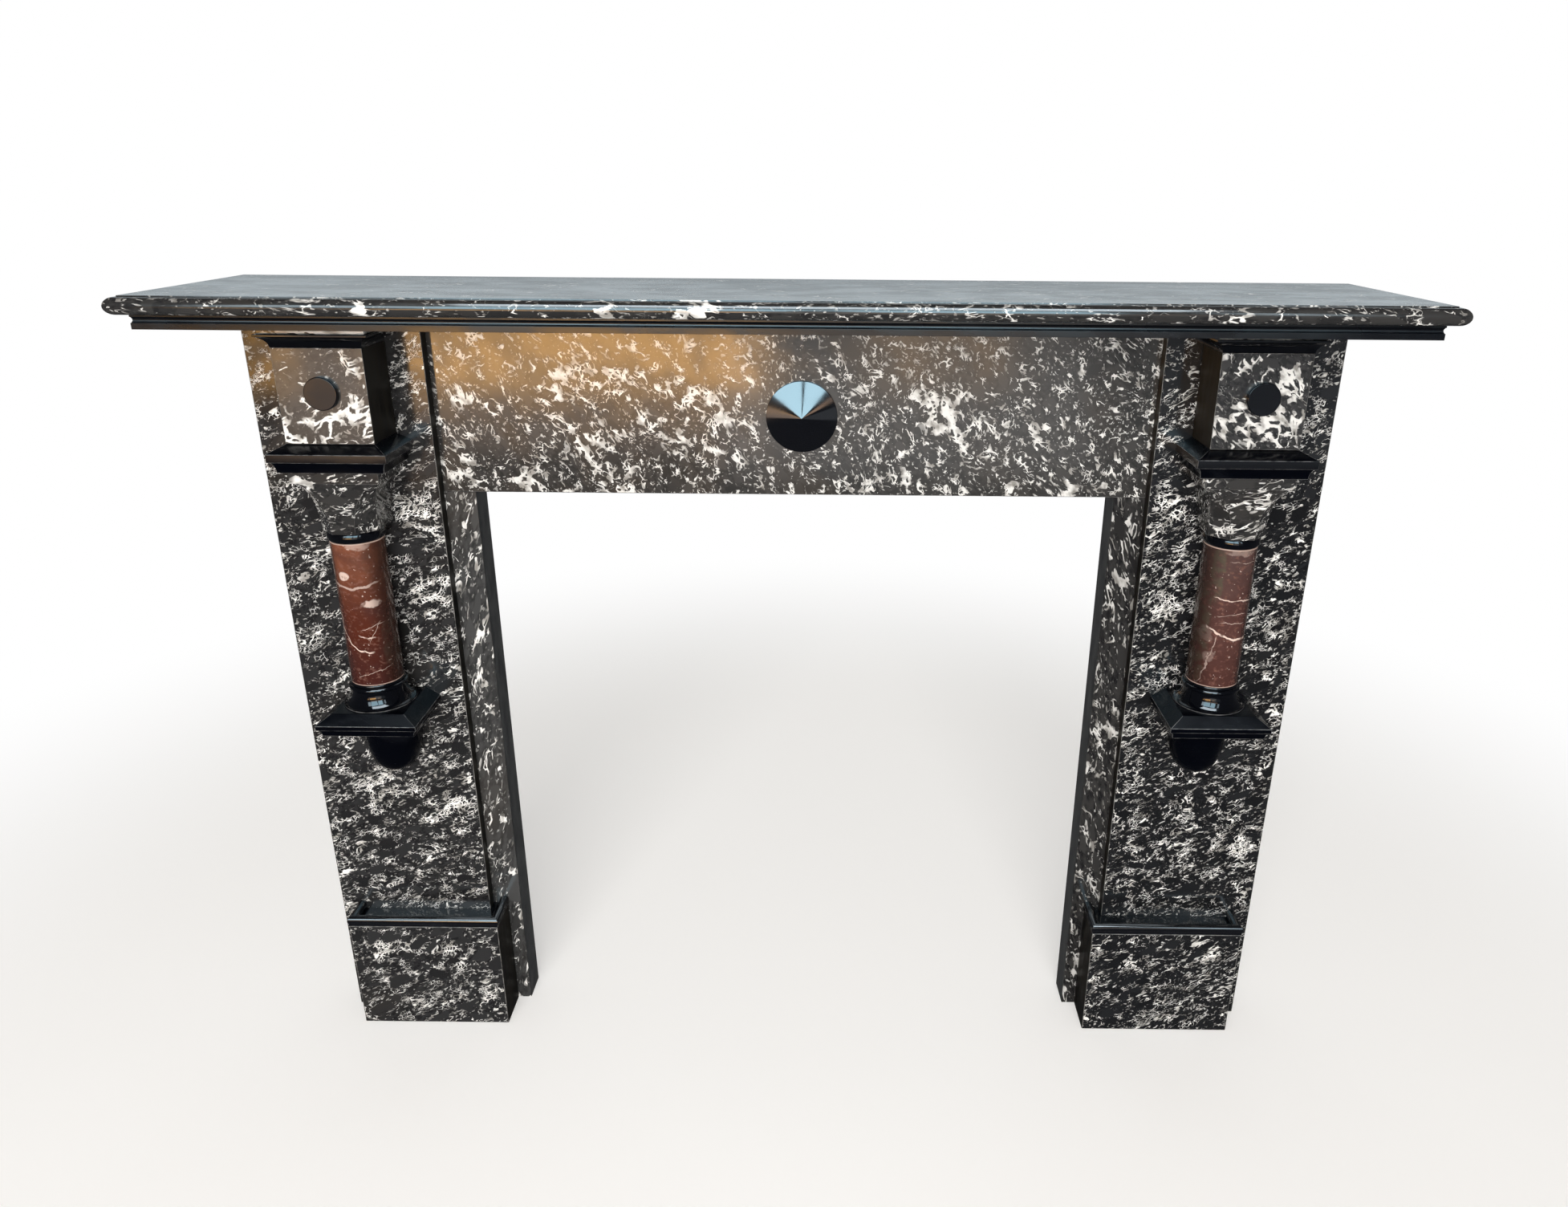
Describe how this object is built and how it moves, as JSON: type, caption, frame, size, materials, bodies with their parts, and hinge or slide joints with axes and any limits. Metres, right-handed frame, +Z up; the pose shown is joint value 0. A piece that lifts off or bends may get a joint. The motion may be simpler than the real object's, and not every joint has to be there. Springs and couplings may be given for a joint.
{
  "type": "fireplace mantelpiece",
  "caption": "Marble chimneypiece: nosed shelf over a plain frieze with a turned boss, jambs with short red marble columns under corbel blocks, and moulded foot blocks.",
  "frame": {"origin": "on the floor, under the middle of the shelf's length and depth", "axes": "+Z up, the front faces -Y, +X to the right seen from the front; the wall plane is y = +0.15"},
  "size_m": [1.58, 0.3, 1.2231],
  "materials": {
    "flecked_marble": "polished dark grey-brown marble, thick with white and cream shards, curls and streaks",
    "black_marble": "polished near-black marble with a faint blue cast",
    "red_marble": "polished brownish red marble with white veins and grey-green patches",
    "honed_slate": "plain dark grey stone, honed and not polished"
  },
  "bodies": {
    "root": {"shelf": "flecked_marble", "under_slab": "black_marble", "frieze": "flecked_marble", "frieze_boss": "black_marble", "slip_left": "flecked_marble", "slip_right": "flecked_marble", "slip_return_left": "honed_slate", "slip_return_right": "honed_slate", "jamb_left": "flecked_marble", "jamb_right": "flecked_marble", "jamb_return_left": "flecked_marble", "jamb_return_right": "flecked_marble", "foot_block_left": "flecked_marble", "foot_block_right": "flecked_marble", "foot_moulding_left": "black_marble", "foot_moulding_right": "black_marble", "packing_left": "flecked_marble", "packing_right": "flecked_marble", "ovolo_left": "black_marble", "ovolo_right": "black_marble", "corbel_block_left": "flecked_marble", "corbel_block_right": "flecked_marble", "roundel_left": "black_marble", "roundel_right": "black_marble", "abacus_left": "black_marble", "abacus_right": "black_marble", "capital_left": "flecked_marble", "capital_right": "flecked_marble", "necking_ring_left": "black_marble", "necking_ring_right": "black_marble", "shaft_left": "red_marble", "shaft_right": "red_marble", "column_base_left": "black_marble", "column_base_right": "black_marble", "base_slab_left": "black_marble", "base_slab_right": "black_marble", "pendant_left": "black_marble", "pendant_right": "black_marble"}
  },
  "joints": []
}
